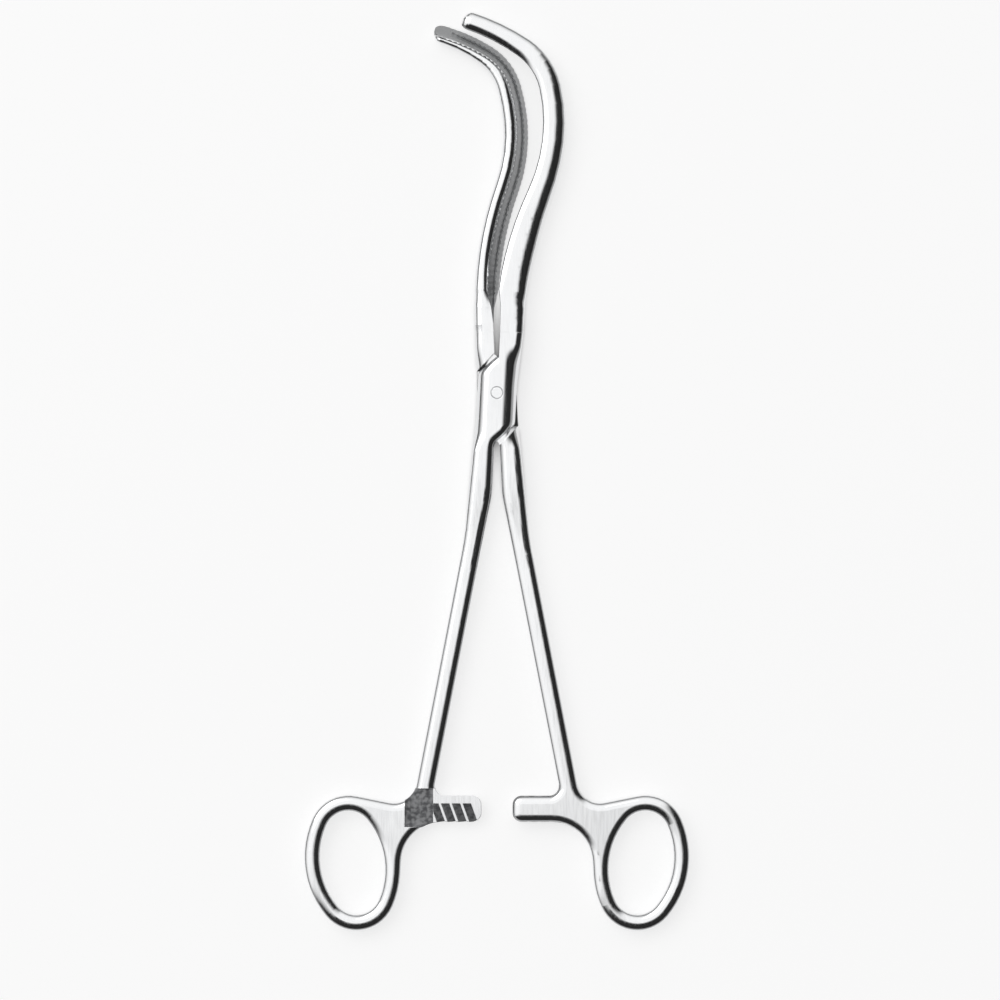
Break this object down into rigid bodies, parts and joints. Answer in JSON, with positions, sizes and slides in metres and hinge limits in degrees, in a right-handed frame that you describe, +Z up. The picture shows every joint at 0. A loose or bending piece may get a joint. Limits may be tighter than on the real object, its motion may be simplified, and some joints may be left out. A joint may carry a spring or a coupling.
{
  "type": "vascular clamp",
  "caption": "Ring-handled surgical clamp with a box lock, long S-shaped jaws with fine teeth, straight shanks and a ratchet between the finger rings.",
  "frame": {"origin": "on the pivot axis, at the flat underside of the lock", "axes": "+Y runs from the rings towards the jaw tips, +Z is up along the pivot, with the clamp lying flat"},
  "size_m": [0.1014, 0.2415, 0.007],
  "materials": {
    "steel": "polished stainless steel with a fine satin grain",
    "pin_steel": "ground stainless steel"
  },
  "bodies": {
    "box_body": {"box_half": "steel", "pivot_pin": "pin_steel"},
    "inner_body": {"inner_half": "steel"}
  },
  "joints": [
    {"name": "pivot", "type": "hinge", "parent": "box_body", "child": "inner_body", "pos_m": [0, 0, 0.0035], "axis": [0, 0, 1], "range_deg": [-5.4, 25]}
  ]
}
